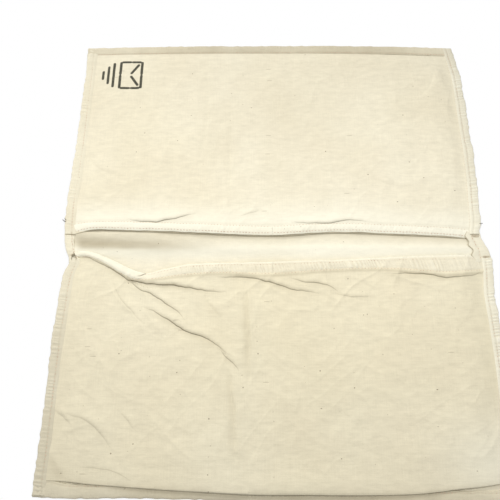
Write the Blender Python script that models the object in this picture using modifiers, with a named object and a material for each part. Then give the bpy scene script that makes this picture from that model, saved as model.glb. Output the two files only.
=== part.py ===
"""Two-pocket mail sack in cream cotton, laid flat and open.

One length of back cloth carries a pocket at each end. The pocket mouths face each other across
the saddle, the bare strip that the sack hangs over, and each half folds about its own line
beside it. The lower pocket is made like the upper one, a little shallower and turned half round.

Metres, +Z up, +Y from the lower pocket to the upper one. The origin is under the middle of the
sack's outline, on the face that it lies on.
"""

import math

import bpy
from mathutils import Vector

# Overall sizes
SACK_WIDTH = 0.280
UPPER_DEPTH = 0.154  # from the fold line to the closed end
LOWER_DEPTH = 0.142
SADDLE_LENGTH = 0.014  # between the two fold lines

# Cloth, seams and hems
CLOTH_THICKNESS = 0.0006
SEAM_THICKNESS = 0.0016  # two turned layers
HEM_THICKNESS = 0.0010
SIDE_SEAM_WIDTH = 0.0090
END_SEAM_WIDTH = 0.0075
SADDLE_HEM_WIDTH = 0.0065
MOUTH_HEM_WIDTH = 0.0090
CORNER_ROUND = 0.0003

# The pocket's gape
MOUTH_GAPE = 0.0044  # clear height between back and front cloth at the mouth
SIDE_RAMP = 0.024  # over which the front cloth climbs from a side seam
END_RAMP = 0.040  # over which it climbs from the closed end
PANEL_COLUMNS = 30
PANEL_ROWS = 9

# Thread
THREAD_RADIUS = 0.00025
SLOPE_GAP = 0.0005  # under a row of stitches that follows the front's slopes
OUTER_ROW_INSET = 0.0051  # from the cloth's outer edge to the outer row of stitches
ROW_SPACING = 0.0025  # between the right seam's two rows
HEM_ROW_INSET = 0.0015  # from a hem's edge to its row of stitches
TACK_LENGTH = 0.0060
TACK_WIDTH = 0.0010
TACK_HEIGHT = 0.0005

# Clearances
LAYER_GAP = 0.0003  # between layers that touch on the real sack
FOLD_GAP = 0.0005  # from a fold's axis to the cloth on either side of it
LIP_SETBACK = 0.0010  # from the fold line to the pocket's lip
SEAM_STAND_OFF = 0.0015  # between a moving front panel and the side seams
HINGE_GAP = 0.0005  # between the mouth's axis and the cloth on either side of it
SADDLE_HEM_SETBACK = 0.0035  # keeps a folded half off the saddle's side hems

# Worked out from the sizes above
HALF_WIDTH = SACK_WIDTH / 2
SADDLE_Y = (LOWER_DEPTH - UPPER_DEPTH) / 2
FOLD_Z = CLOTH_THICKNESS / 2
LAYER_TWO = CLOTH_THICKNESS + LAYER_GAP  # underside of what lies on the back cloth
SEAM_TOP = LAYER_TWO + SEAM_THICKNESS
SEAM_THREAD_Z = SEAM_TOP + LAYER_GAP + THREAD_RADIUS
PANEL_HALF_WIDTH = HALF_WIDTH - SIDE_SEAM_WIDTH - SEAM_STAND_OFF
MOUTH_AXIS_Z = LAYER_TWO + CLOTH_THICKNESS / 2
PANEL_RISE = MOUTH_GAPE - LAYER_GAP

PARTS_COLLECTION = "mail_sack"
CREAM = (0.82, 0.74, 0.56)
HEM_CREAM = (0.78, 0.70, 0.52)
THREAD_CREAM = (0.86, 0.78, 0.64)


def clear_scene():
    for old in list(bpy.data.objects):
        bpy.data.objects.remove(old)


def make_collection():
    collection = bpy.data.collections.new(PARTS_COLLECTION)
    bpy.context.scene.collection.children.link(collection)
    return collection


def make_material(name, colour, roughness):
    material = bpy.data.materials.new(name)
    material.use_nodes = True
    shader = material.node_tree.nodes["Principled BSDF"]
    shader.inputs["Base Color"].default_value = (*colour, 1.0)
    shader.inputs["Roughness"].default_value = roughness
    shader.inputs["Metallic"].default_value = 0.0
    return material


def make_pivot(name, parent, location, turn=0.0):
    """An empty on a joint's axis, which carries the pieces that move about it."""
    pivot = bpy.data.objects.new(name, None)
    pivot.empty_display_size = 0.01
    pivot.parent = parent
    pivot.location = location
    pivot.rotation_euler = (0.0, 0.0, turn)
    COLLECTION.objects.link(pivot)
    return pivot


def adopt(obj, name, pivot, location, material):
    """Names a new object, puts it under its pivot and moves it into the parts' collection."""
    obj.name = name
    obj.data.name = name
    obj.parent = pivot
    obj.location = location
    obj.data.materials.append(material)
    for holder in list(obj.users_collection):
        holder.objects.unlink(obj)
    COLLECTION.objects.link(obj)
    return obj


def add_block(name, pivot, size, centre, material, rounded=0.0):
    """A flat block of cloth, with its edges rounded if asked."""
    bpy.ops.mesh.primitive_cube_add(size=1.0)
    block = bpy.context.object
    for vertex in block.data.vertices:
        vertex.co = Vector(a * b for a, b in zip(vertex.co, size))
    if rounded:
        bevel = block.modifiers.new("rounded edges", "BEVEL")
        bevel.width = rounded
        bevel.segments = 1
    return adopt(block, name, pivot, centre, material)


def add_thread(name, pivot, points, material):
    """A row of stitches as one continuous thread through the points given."""
    curve = bpy.data.curves.new(name, "CURVE")
    curve.dimensions = "3D"
    curve.bevel_depth = THREAD_RADIUS
    curve.bevel_resolution = 2
    curve.use_fill_caps = True
    run = curve.splines.new("POLY")
    run.points.add(len(points) - 1)
    for place, point in zip(run.points, points):
        place.co = (*point, 1.0)
    thread = bpy.data.objects.new(name, curve)
    return adopt(thread, name, pivot, (0.0, 0.0, 0.0), material)


def climb(distance, ramp):
    """0 at a seam, 1 past the ramp, with a smooth cosine between."""
    share = min(max(distance / ramp, 0.0), 1.0)
    return (1 - math.cos(math.pi * share)) / 2


def mouth_axis_y(depth):
    """Where a pocket's front hinges, just inside the end seam."""
    return depth - END_SEAM_WIDTH - HINGE_GAP


def panel_height(x, before_axis):
    """Height of the front cloth's underside above the table, at x and so far before the axis."""
    side = climb(PANEL_HALF_WIDTH - abs(x), SIDE_RAMP)
    end = climb(before_axis - HINGE_GAP, END_RAMP)
    return LAYER_TWO + PANEL_RISE * side * end


def add_arched_sheet(name, pivot, near_y, far_y, rows, thickness, material):
    """Cloth on the front's arch, between two places measured from the mouth's axis."""
    bpy.ops.mesh.primitive_grid_add(x_subdivisions=PANEL_COLUMNS, y_subdivisions=rows, size=1.0)
    sheet = bpy.context.object
    for vertex in sheet.data.vertices:
        x = vertex.co.x * 2 * PANEL_HALF_WIDTH
        y = near_y + (vertex.co.y + 0.5) * (far_y - near_y)
        vertex.co = (x, y, panel_height(x, -y) - MOUTH_AXIS_Z)
    wall = sheet.modifiers.new("cloth thickness", "SOLIDIFY")
    wall.thickness = thickness
    wall.offset = 1.0
    return adopt(sheet, name, pivot, (0.0, 0.0, 0.0), material)


def make_saddle(cloth, hem_cloth, thread):
    root = make_pivot("saddle_pivot", None, (0.0, SADDLE_Y, 0.0))
    strip_length = SADDLE_LENGTH - 2 * FOLD_GAP
    add_block(
        "saddle_strip",
        root,
        (SACK_WIDTH, strip_length, CLOTH_THICKNESS),
        (0.0, 0.0, CLOTH_THICKNESS / 2),
        cloth,
    )
    hem_length = SADDLE_LENGTH - 2 * SADDLE_HEM_SETBACK
    for side, sign in (("left", -1), ("right", 1)):
        add_block(
            f"saddle_{side}_hem",
            root,
            (SADDLE_HEM_WIDTH, hem_length, HEM_THICKNESS),
            (sign * (HALF_WIDTH - SADDLE_HEM_WIDTH / 2), 0.0, LAYER_TWO + HEM_THICKNESS / 2),
            hem_cloth,
            CORNER_ROUND,
        )
        x = sign * (HALF_WIDTH - SADDLE_HEM_WIDTH + HEM_ROW_INSET)
        z = LAYER_TWO + HEM_THICKNESS + LAYER_GAP + THREAD_RADIUS
        reach = hem_length / 2 - CORNER_ROUND
        add_thread(f"saddle_{side}_stitches", root, [(x, -reach, z), (x, reach, z)], thread)
    return root


def make_side_seam(name, side, sign, depth, pivot, cloth, thread):
    """A side seam's turned band, its stitches and the tack at the mouth's corner.

    The left seam has one row of stitches, and the right one has two.
    """
    start = LIP_SETBACK
    length = depth - END_SEAM_WIDTH - LAYER_GAP - start
    add_block(
        f"{name}_{side}_seam",
        pivot,
        (SIDE_SEAM_WIDTH, length, SEAM_THICKNESS),
        (
            sign * (HALF_WIDTH - SIDE_SEAM_WIDTH / 2),
            start + length / 2,
            LAYER_TWO + SEAM_THICKNESS / 2 - FOLD_Z,
        ),
        cloth,
        CORNER_ROUND,
    )
    near = start + TACK_WIDTH + 2 * LAYER_GAP + CORNER_ROUND
    far = start + length - CORNER_ROUND
    z = SEAM_THREAD_Z - FOLD_Z
    rows = {"left_stitches": OUTER_ROW_INSET}
    if side == "right":
        rows = {
            "right_outer_stitches": OUTER_ROW_INSET,
            "right_inner_stitches": OUTER_ROW_INSET + ROW_SPACING,
        }
    for row, inset in rows.items():
        x = sign * (HALF_WIDTH - inset)
        add_thread(f"{name}_{row}", pivot, [(x, near, z), (x, far, z)], thread)
    add_block(
        f"{name}_{side}_tack",
        pivot,
        (TACK_LENGTH, TACK_WIDTH, TACK_HEIGHT),
        (
            sign * (HALF_WIDTH - SIDE_SEAM_WIDTH / 2),
            start + CORNER_ROUND + TACK_WIDTH / 2,
            SEAM_TOP + LAYER_GAP + TACK_HEIGHT / 2 - FOLD_Z,
        ),
        thread,
    )


def make_back(name, depth, pivot, cloth, hem_cloth, thread):
    """What stays with the back cloth of one pocket: the cloth, its side seams and its end seam."""
    length = depth - FOLD_GAP
    add_block(
        f"{name}_back_cloth",
        pivot,
        (SACK_WIDTH, length, CLOTH_THICKNESS),
        (0.0, FOLD_GAP + length / 2, 0.0),
        cloth,
    )
    for side, sign in (("left", -1), ("right", 1)):
        make_side_seam(name, side, sign, depth, pivot, hem_cloth, thread)
    add_block(
        f"{name}_end_seam",
        pivot,
        (SACK_WIDTH, END_SEAM_WIDTH, SEAM_THICKNESS),
        (0.0, depth - END_SEAM_WIDTH / 2, LAYER_TWO + SEAM_THICKNESS / 2 - FOLD_Z),
        hem_cloth,
        CORNER_ROUND,
    )
    y = depth - END_SEAM_WIDTH + HEM_ROW_INSET
    z = SEAM_THREAD_Z - FOLD_Z
    reach = HALF_WIDTH - OUTER_ROW_INSET
    add_thread(f"{name}_end_stitches", pivot, [(-reach, y, z), (reach, y, z)], thread)


def make_front(name, depth, pivot, cloth, hem_cloth, thread):
    """What lifts when the mouth opens: the front cloth, its hem and the hem's two rows."""
    lip = LIP_SETBACK - mouth_axis_y(depth)
    hem_far = lip + MOUTH_HEM_WIDTH
    cloth_near = hem_far + LAYER_GAP
    add_arched_sheet(
        f"{name}_front_cloth", pivot, cloth_near, -HINGE_GAP, PANEL_ROWS, CLOTH_THICKNESS, cloth
    )
    add_arched_sheet(f"{name}_mouth_hem", pivot, lip, hem_far, 1, HEM_THICKNESS, hem_cloth)
    row_lift = HEM_THICKNESS + SLOPE_GAP + THREAD_RADIUS - MOUTH_AXIS_Z
    columns = [2 * share / PANEL_COLUMNS - 1 for share in range(PANEL_COLUMNS + 1)]
    for row, y in (("lip", lip + HEM_ROW_INSET), ("inner", hem_far - HEM_ROW_INSET)):
        xs = [column * (PANEL_HALF_WIDTH - HEM_ROW_INSET) for column in columns]
        points = [(x, y, panel_height(x, -y) + row_lift) for x in xs]
        add_thread(f"{name}_hem_{row}_stitches", pivot, points, thread)


def make_pocket(name, depth, root, turn, cloth, hem_cloth, thread):
    """One pocket. Its own +Y runs from the fold line to the closed end."""
    fold_y = SADDLE_LENGTH / 2 * math.cos(turn)
    fold = make_pivot(f"{name}_fold_pivot", root, (0.0, fold_y, FOLD_Z), turn)
    make_back(name, depth, fold, cloth, hem_cloth, thread)
    mouth = make_pivot(
        f"{name}_mouth_pivot", fold, (0.0, mouth_axis_y(depth), MOUTH_AXIS_Z - FOLD_Z)
    )
    make_front(name, depth, mouth, cloth, hem_cloth, thread)


clear_scene()
COLLECTION = make_collection()
cream_cloth = make_material("cream_cotton", CREAM, 0.95)
turned_cloth = make_material("turned_cotton", HEM_CREAM, 0.95)
cotton_thread = make_material("cotton_thread", THREAD_CREAM, 0.85)
saddle = make_saddle(cream_cloth, turned_cloth, cotton_thread)
make_pocket("upper", UPPER_DEPTH, saddle, 0.0, cream_cloth, turned_cloth, cotton_thread)
make_pocket("lower", LOWER_DEPTH, saddle, math.pi, cream_cloth, turned_cloth, cotton_thread)
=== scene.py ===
import math

import bmesh
import bpy
import numpy as np
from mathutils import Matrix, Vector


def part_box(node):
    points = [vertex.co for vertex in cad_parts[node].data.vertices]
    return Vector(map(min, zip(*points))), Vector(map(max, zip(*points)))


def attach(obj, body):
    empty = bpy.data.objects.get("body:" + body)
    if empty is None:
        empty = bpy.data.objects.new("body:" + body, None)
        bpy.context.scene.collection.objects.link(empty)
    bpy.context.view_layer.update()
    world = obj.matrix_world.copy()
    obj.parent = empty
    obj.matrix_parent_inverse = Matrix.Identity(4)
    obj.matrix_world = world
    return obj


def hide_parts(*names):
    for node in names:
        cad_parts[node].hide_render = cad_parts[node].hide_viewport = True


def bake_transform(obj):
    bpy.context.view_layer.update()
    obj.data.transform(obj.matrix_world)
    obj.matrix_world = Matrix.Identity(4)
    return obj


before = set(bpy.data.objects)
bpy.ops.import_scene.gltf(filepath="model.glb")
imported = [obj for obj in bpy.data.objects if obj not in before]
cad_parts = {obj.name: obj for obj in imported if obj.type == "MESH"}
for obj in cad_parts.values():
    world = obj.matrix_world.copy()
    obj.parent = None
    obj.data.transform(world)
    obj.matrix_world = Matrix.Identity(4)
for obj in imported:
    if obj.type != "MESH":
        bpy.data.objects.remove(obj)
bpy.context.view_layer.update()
mm = 0.001  # everything below is worked out in millimetres and put in the mesh in metres

# Where the frame's pieces end, in millimetres
saddleLow, saddleHigh = (np.array(corner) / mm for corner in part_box("saddle_strip"))
sackWidth = saddleHigh[0] - saddleLow[0]
saddleMiddle = (saddleLow[1] + saddleHigh[1]) / 2
halves, sides = {"upper": 1, "lower": -1}, {"left": -1, "right": 1}  # with the sign of Y and of X
print("frame loaded:", len(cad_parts), "nodes")


# Curves, noise and meshes that the pieces share

def smoothLine(x, points):
    # a cubic through the points (place, value), whose slope at each is that between its neighbours
    px, py = np.array(points, float).T
    slope = np.gradient(py, px)
    i = np.clip(np.searchsorted(px, x) - 1, 0, len(px) - 2)
    width = px[i + 1] - px[i]
    t = np.clip((x - px[i]) / width, 0, 1)
    return (
        (2 * t**3 - 3 * t**2 + 1) * py[i]
        + (t**3 - 2 * t**2 + t) * width * slope[i]
        + (3 * t**2 - 2 * t**3) * py[i + 1]
        + (t**3 - t**2) * width * slope[i + 1]
    )


def softNoise(x, y, size, seed):
    # a random value at each crossing of a lattice, smoothed between them, from -1 to 1
    table = np.random.default_rng(seed).uniform(-1, 1, (61, 67))
    gx, gy = x / size + 500, y / size + 500
    ix, iy = np.floor(gx).astype(int), np.floor(gy).astype(int)
    fx, fy = gx - ix, gy - iy
    fx, fy = fx * fx * (3 - 2 * fx), fy * fy * (3 - 2 * fy)
    at = lambda i, j: table[(ix + i) % 61, (iy + j) % 67]
    near = at(0, 0) * (1 - fx) + at(1, 0) * fx
    far = at(0, 1) * (1 - fx) + at(1, 1) * fx
    return near * (1 - fy) + far * fy


def lineNoise(x, size, seed):
    return softNoise(x, x * 0, size, seed)


def ease(value, low, high):
    t = np.clip((value - low) / (high - low), 0, 1)
    return t * t * (3 - 2 * t)


def bell(value, width):
    return np.exp(-((value / width) ** 2))


def pick(half, upper, lower):
    return upper if half == "upper" else lower


def darken(marks, amount, where=...):
    marks["crease"][where] = np.maximum(marks["crease"][where], amount)


def roundedPath(points, steps=6):
    # a Catmull-Rom curve through the points, in order
    p = np.array(points, float)
    p = np.vstack([2 * p[0] - p[1], p, 2 * p[-1] - p[-2]])
    t = (np.arange(steps) / steps)[:, None]
    out = []
    for a, b, c, d in zip(p, p[1:], p[2:], p[3:]):
        curved = (2 * a - 5 * b + 4 * c - d) * t**2 + (3 * b - a - 3 * c + d) * t**3
        out.append(0.5 * (2 * b + (c - a) * t + curved))
    return np.vstack(out + [p[-2:-1]])


def nearestOnPath(path, x, y):
    # for each place: its signed distance from the path (positive on the left of its direction),
    # the share of the path's length where it is nearest, and the path's left-hand normal there
    steps = np.diff(path, axis=0)
    lengths = np.hypot(*steps.T)
    starts = np.concatenate([[0], np.cumsum(lengths)])
    best = np.full(x.shape, 1e9)
    signed, share = np.zeros(x.shape), np.zeros(x.shape)
    nx, ny = np.zeros(x.shape), np.ones(x.shape)
    for (ax, ay), (dx, dy), length, start in zip(path, steps, lengths, starts):
        t = np.clip(((x - ax) * dx + (y - ay) * dy) / length**2, 0, 1)
        ox, oy = x - ax - t * dx, y - ay - t * dy
        distance = np.hypot(ox, oy)
        closer = distance < best
        best = np.where(closer, distance, best)
        side = np.sign(dx * oy - dy * ox)
        signed = np.where(closer, distance * np.where(side == 0, 1, side), signed)
        share = np.where(closer, (start + t * length) / starts[-1], share)
        nx, ny = np.where(closer, -dy / length, nx), np.where(closer, dx / length, ny)
    return signed, share, nx, ny


def gridFaces(rows, columns):
    index = np.arange(rows * columns).reshape(rows, columns)
    return np.stack([index[:-1, :-1], index[1:, :-1], index[1:, 1:], index[:-1, 1:]], -1).reshape(-1, 4)


def tubeFaces(index):
    # the four-sided faces of a tube, from its points' numbers: rings of points, one row each
    onward = np.roll(index, -1, axis=1)
    return np.stack([index[:-1], index[1:], onward[1:], onward[:-1]], -1).reshape(-1, 4)


def gridNormals(points):
    normals = np.cross(np.gradient(points, axis=0), np.gradient(points, axis=1))
    return normals / np.maximum(np.linalg.norm(normals, axis=-1, keepdims=True), 1e-9)


def addObject(name, data):
    made = bpy.data.objects.new(name, data)
    bpy.context.scene.collection.objects.link(made)
    return made


def putMesh(name, points, faces, uv, material, marks=None, normals=None):
    # points in millimetres; uv is each point's place on the flat cloth, in metres
    mesh = bpy.data.meshes.new(name)
    mesh.from_pydata((points * mm).tolist(), [], faces.tolist())
    layer = mesh.uv_layers.new(name="flat")
    corners = np.empty(len(mesh.loops), np.int32)
    mesh.loops.foreach_get("vertex_index", corners)
    layer.data.foreach_set("uv", (uv * mm)[corners].astype(np.float32).ravel())
    for mark, values in (marks or {}).items():
        attribute = mesh.attributes.new(mark, "FLOAT", "POINT")
        attribute.data.foreach_set("value", values.astype(np.float32))
    mesh.shade_smooth()
    if normals is None:
        # a band, stitch or thread may run either way round, so its faces are turned outward here
        work = bmesh.new()
        work.from_mesh(mesh)
        bmesh.ops.recalc_face_normals(work, faces=work.faces)
        work.to_mesh(mesh)
        work.free()
    else:
        mesh.normals_split_custom_set_from_vertices(normals.tolist())
    mesh.materials.append(material)
    return addObject(name, mesh)


def putSheet(name, points, flat, thickness, material, marks, part=None):
    # a cloth of even thickness under the grid of points; part picks the piece of the grid that is kept,
    # with the whole grid's normals, so that two neighbours meet without a visible line
    normals = gridNormals(points)
    if part is not None:
        points, normals, flat = points[part], normals[part], flat[part]
        marks = {mark: values[part] for mark, values in marks.items()}
    rows, across = points.shape[:2]
    top = gridFaces(rows, across)
    count = rows * across
    index = np.arange(count).reshape(rows, across)
    rim = np.concatenate([index[:-1, 0], index[-1, :-1], index[:0:-1, -1], index[0, :0:-1]])
    wall = np.stack([rim, rim + count, np.roll(rim, -1) + count, np.roll(rim, -1)], -1)
    faces = np.vstack([top, top[:, ::-1] + count, wall])
    both = np.vstack([points.reshape(-1, 3), (points - normals * thickness).reshape(-1, 3)])
    facing = np.vstack([normals.reshape(-1, 3), -normals.reshape(-1, 3)])
    uv = np.tile(flat.reshape(-1, 2), (2, 1))
    doubled = {mark: np.tile(values.ravel(), 2) for mark, values in marks.items()}
    return putMesh(name, both, faces, uv, material, doubled, facing)


def putBand(name, middle, halfThick, flat, material, marks):
    # a turned band: a grid of its middle surface, swollen up and down by half its thickness,
    # which falls to nothing along both long edges; the ends are closed
    rows, across = middle.shape[:2]
    lift = np.zeros_like(middle)
    lift[..., 2] = halfThick
    ring = np.concatenate([middle + lift, (middle - lift)[:, -2:0:-1]], axis=1)
    uv = np.concatenate([flat, flat[:, -2:0:-1]], axis=1)
    around = ring.shape[1]
    index = np.arange(rows * around).reshape(rows, around)
    k = np.arange(across - 1)
    mirror = lambda j: (around - j) % around
    cap = np.stack([index[0][k], index[0][k + 1], index[0][mirror(k + 1)], index[0][mirror(k)]], -1)
    end = np.stack([index[-1][k], index[-1][mirror(k)], index[-1][mirror(k + 1)], index[-1][k + 1]], -1)
    faces = [tuple(dict.fromkeys(face)) for face in np.vstack([cap, end]).tolist()]
    faces = tubeFaces(index).tolist() + [face for face in faces if len(face) > 2]
    doubled = {m: np.concatenate([v, v[:, -2:0:-1]], axis=1).ravel() for m, v in marks.items()}
    faces = np.array(faces, dtype=object)
    return putMesh(name, ring.reshape(-1, 3), faces, uv.reshape(-1, 2), material, doubled)


stitchSettings = {"pitch": 2.1, "length": 1.45, "radius": 0.22, "wander": 0.08}


def putStitches(name, routes, material, seed):
    # each stitch is a short fat-middled thread: a ring of six points swept along its length,
    # thin at both ends where it dives into the cloth
    rng = np.random.default_rng(seed)
    pitch, length, radius = (stitchSettings[key] for key in ("pitch", "length", "radius"))
    centres, directions, ups = [], [], []
    for route in routes:
        steps = np.linalg.norm(np.diff(route, axis=0), axis=1)
        along = np.concatenate([[0], np.cumsum(steps)])
        middles = np.arange(pitch * 0.6, along[-1] - pitch * 0.4, pitch)
        middles = middles + rng.uniform(-0.15, 0.15, len(middles))
        at = lambda s: np.stack([np.interp(s, along, route[:, k]) for k in range(3)], -1)
        direction = at(middles + 0.5) - at(middles - 0.5)
        centres.append(at(middles))
        directions.append(direction / np.linalg.norm(direction, axis=1, keepdims=True))
        # a row on the underside is run over backwards, and its threads bulge down
        under = len(ups) > 0
        ups.append(np.full(len(middles), -1.0 if under else 1.0))
    centre, direction, bulge = np.vstack(centres), np.vstack(directions), np.concatenate(ups)[:, None]
    side = np.stack([-direction[:, 1], direction[:, 0], np.zeros(len(centre))], -1) * bulge
    side /= np.linalg.norm(side, axis=1, keepdims=True)
    direction = direction + side * rng.normal(0, 0.06, len(centre))[:, None]
    up = np.cross(direction, side)
    centre = centre + side * rng.normal(0, stitchSettings["wander"], len(centre))[:, None]
    share = np.array([-1, -0.8, -0.3, 0.3, 0.8, 1.0])
    thick = np.array([0.25, 0.75, 1.0, 1.0, 0.75, 0.25]) * radius
    dive = -0.68 * np.array([1.6, 0.7, 0.0, 0.0, 0.7, 1.6]) * radius
    angle = np.arange(6) * math.pi / 3
    heights = (np.outer(thick, np.sin(angle)) + dive[:, None]).ravel()
    local = np.stack([np.repeat(share * length / 2, 6), np.outer(thick, np.cos(angle)).ravel(), heights], -1)
    basis = np.stack([direction, side, up], axis=1)
    points = centre[:, None, :] + np.einsum("vk,nkc->nvc", local, basis)
    ring = np.arange(36).reshape(6, 6)
    starts = (np.arange(len(centre)) * 36)[:, None, None]
    quads = (np.roll(tubeFaces(ring), -1, axis=1)[None] + starts).reshape(-1, 4)
    caps = (np.concatenate([ring[:1, ::-1], ring[-1:]])[None] + starts).reshape(-1, 6)
    faces = np.array(quads.tolist() + caps.tolist(), dtype=object)
    flat = points.reshape(-1, 3)
    return putMesh(name, flat, faces, flat[:, :2], material)


def putThread(name, routes, radii, material):
    # loose threads: a five-sided ring carried along each route, closed at both ends
    points, faces = [], []
    for route, radius in zip(routes, radii):
        ahead = np.gradient(route, axis=0)
        ahead /= np.linalg.norm(ahead, axis=1, keepdims=True)
        side = np.cross(ahead, [0.13, 0.31, 0.94])
        side /= np.linalg.norm(side, axis=1, keepdims=True)
        up = np.cross(side, ahead)
        angle = np.arange(5) * 2 * math.pi / 5
        thin = radius * np.linspace(1, 0.55, len(route))[:, None, None]
        outward = np.cos(angle)[:, None] * side[:, None] + np.sin(angle)[:, None] * up[:, None]
        ring = route[:, None] + thin * outward
        start = sum(len(p) for p in points)
        index = np.arange(ring.shape[0] * 5).reshape(-1, 5) + start
        faces += tubeFaces(index).tolist()
        faces += [index[0].tolist(), index[-1, ::-1].tolist()]
        points.append(ring.reshape(-1, 3))
    points = np.vstack(points)
    return putMesh(name, points, np.array(faces, dtype=object), points[:, :2], material)


# Materials: shader helpers, two node groups, then cotton and thread

def newGroup(name, inputs, outputs):
    group = bpy.data.node_groups.new(name, "ShaderNodeTree")
    for label, kind, value in inputs:
        socket = group.interface.new_socket(name=label, in_out="INPUT", socket_type=kind)
        if value is not None:
            socket.default_value = value
    for label, kind in outputs:
        group.interface.new_socket(name=label, in_out="OUTPUT", socket_type=kind)
    return group, group.nodes.new("NodeGroupInput"), group.nodes.new("NodeGroupOutput")


def addNode(tree, kind, settings=None, **inputs):
    node = tree.nodes.new(kind)
    for key, value in (settings or {}).items():
        setattr(node, key, value)
    for key, value in inputs.items():
        # i0, i1 and so on are sockets by number
        socket = node.inputs[int(key[1:]) if key[1:].isdigit() else key]
        if isinstance(value, bpy.types.NodeSocket):
            tree.links.new(value, socket)
        else:
            socket.default_value = value
    return node


def calc(tree, operation, *values):
    numbered = {f"i{k}": value for k, value in enumerate(values)}
    return addNode(tree, "ShaderNodeMath", {"operation": operation}, **numbered).outputs[0]


def times(tree, first, second):
    return calc(tree, "MULTIPLY", first, second)


def stretched(tree, vector, scale):
    return addNode(tree, "ShaderNodeMapping", {}, i0=vector, Scale=scale).outputs[0]


def noiseValue(tree, vector, scale, detail=2.0, roughness=0.5):
    values = {"Vector": vector, "Scale": scale, "Detail": detail, "Roughness": roughness}
    return addNode(tree, "ShaderNodeTexNoise", {}, **values).outputs[0]


def remap(tree, value, low, high, toLow=0.0, toHigh=1.0):
    node = addNode(tree, "ShaderNodeMapRange", {}, i0=value, i1=low, i2=high, i3=toLow, i4=toHigh)
    return node.outputs[0]


def makeWeaveGroup():
    # plain weave: warp and weft threads cross over and under; each thread's thickness wanders,
    # and a few are thick for a stretch, as slubs
    group, given, out = newGroup(
        "plainWeave",
        [("Vector", "NodeSocketVector", None), ("Threads per metre", "NodeSocketFloat", 2300.0)],
        [("Height", "NodeSocketFloat"), ("Yarn", "NodeSocketFloat")],
    )
    vector, count = given.outputs[0], given.outputs[1]
    parts = addNode(group, "ShaderNodeSeparateXYZ", {}, i0=vector).outputs
    turns = [times(group, times(group, parts[k], count), math.pi) for k in (0, 1)]
    warp = calc(group, "ABSOLUTE", calc(group, "SINE", turns[0]))
    weft = calc(group, "ABSOLUTE", calc(group, "SINE", turns[1]))
    crossing = times(group, calc(group, "COSINE", turns[0]), calc(group, "COSINE", turns[1]))
    cloth = calc(group, "ADD", times(group, warp, weft), times(group, crossing, 0.35))
    across = noiseValue(group, stretched(group, vector, (60.0, 2200.0, 1.0)), 1.0, 3.0, 0.6)
    down = noiseValue(group, stretched(group, vector, (2200.0, 60.0, 1.0)), 1.0, 3.0, 0.6)
    yarn = calc(group, "ADD", times(group, across, 0.5), times(group, down, 0.5))
    height = calc(group, "ADD", times(group, cloth, 0.6), times(group, yarn, 1.6))
    group.links.new(height, out.inputs[0])
    group.links.new(yarn, out.inputs[1])
    return group


def makeMarksGroup():
    # what unbleached cotton carries: brown seed flecks, thread-thin trash, broad soft stains, and a
    # fine mottle
    outputs = [(name, "NodeSocketFloat") for name in ("Fleck", "Stain", "Warm", "Mottle")]
    inputs = [("Vector", "NodeSocketVector", None), ("Flecks", "NodeSocketFloat", 1.0)]
    group, given, out = newGroup("cottonMarks", inputs, outputs)
    vector, amount = given.outputs[0], given.outputs[1]
    onCloth = {"voronoi_dimensions": "2D"}
    cells = addNode(group, "ShaderNodeTexVoronoi", onCloth, Vector=vector, Scale=105.0)
    chosen = addNode(group, "ShaderNodeSeparateColor", {}, i0=cells.outputs["Color"]).outputs
    size = remap(group, chosen[1], 0.0, 1.0, 0.015, 0.045)
    dot = calc(group, "LESS_THAN", cells.outputs["Distance"], size)
    rare = calc(group, "GREATER_THAN", chosen[0], 0.84)
    strength = remap(group, chosen[2], 0.0, 1.0, 0.1, 0.75)
    dots = times(group, times(group, dot, rare), strength)
    slanted = stretched(group, vector, (18.0, 130.0, 1.0))
    trash = addNode(group, "ShaderNodeTexVoronoi", onCloth, Vector=slanted, Scale=1.0)
    pick = addNode(group, "ShaderNodeSeparateColor", {}, i0=trash.outputs["Color"]).outputs
    thin = calc(group, "LESS_THAN", trash.outputs["Distance"], 0.035)
    seldom = calc(group, "GREATER_THAN", pick[0], 0.88)
    wisp = times(group, times(group, thin, seldom), 0.3)
    fleck = times(group, calc(group, "MAXIMUM", dots, wisp), amount)
    stain = remap(group, noiseValue(group, vector, 16.0, 4.0, 0.55), 0.35, 0.7)
    warm = remap(group, noiseValue(group, stretched(group, vector, (9.0, 7.0, 1.0)), 1.0, 2.0, 0.5), 0.3, 0.7)
    mottle = noiseValue(group, stretched(group, vector, (130.0, 330.0, 1.0)), 1.0, 6.0, 0.65)
    for k, value in enumerate((fleck, stain, warm, mottle)):
        group.links.new(value, out.inputs[k])
    return group


weaveGroup = makeWeaveGroup()
marksGroup = makeMarksGroup()


def colourMix(tree, share, first, second, blendType="MIX"):
    node = addNode(tree, "ShaderNodeMix", {"data_type": "RGBA", "blend_type": blendType}, i0=share)
    for socket, value in ((node.inputs[6], first), (node.inputs[7], second)):
        if isinstance(value, bpy.types.NodeSocket):
            tree.links.new(value, socket)
        else:
            socket.default_value = (*value, 1.0)
    return node.outputs[2]


def markOf(tree, name):
    return addNode(tree, "ShaderNodeAttribute", {"attribute_name": name}).outputs["Fac"]


def newMaterial(name):
    material = bpy.data.materials.new(name)
    material.use_nodes = True
    return material, material.node_tree, material.node_tree.nodes["Principled BSDF"]


cottonLayers = {
    # the colours that lie over the cotton's own, one after the other
    "stain": (0.64, 0.53, 0.36),
    # painted light: a lighter cream laid on lit ridges, lips, crests and the brighter middle of the sack
    "pale": (0.955, 0.935, 0.80),
    # random rubbing, and painted shade over the middle of each pocket
    "wearAndShade": (0.60, 0.53, 0.37),
    # painted shade in creases and hollows, under lips and along edges, with some dirt on the end bands
    "crease": (0.26, 0.205, 0.11),
    # a painted shadow line in a crease's fold and under the upper lip
    "line": (0.135, 0.10, 0.045),
    "fleck": (0.16, 0.11, 0.06),
    "ink": (0.034, 0.035, 0.022),
}


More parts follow.
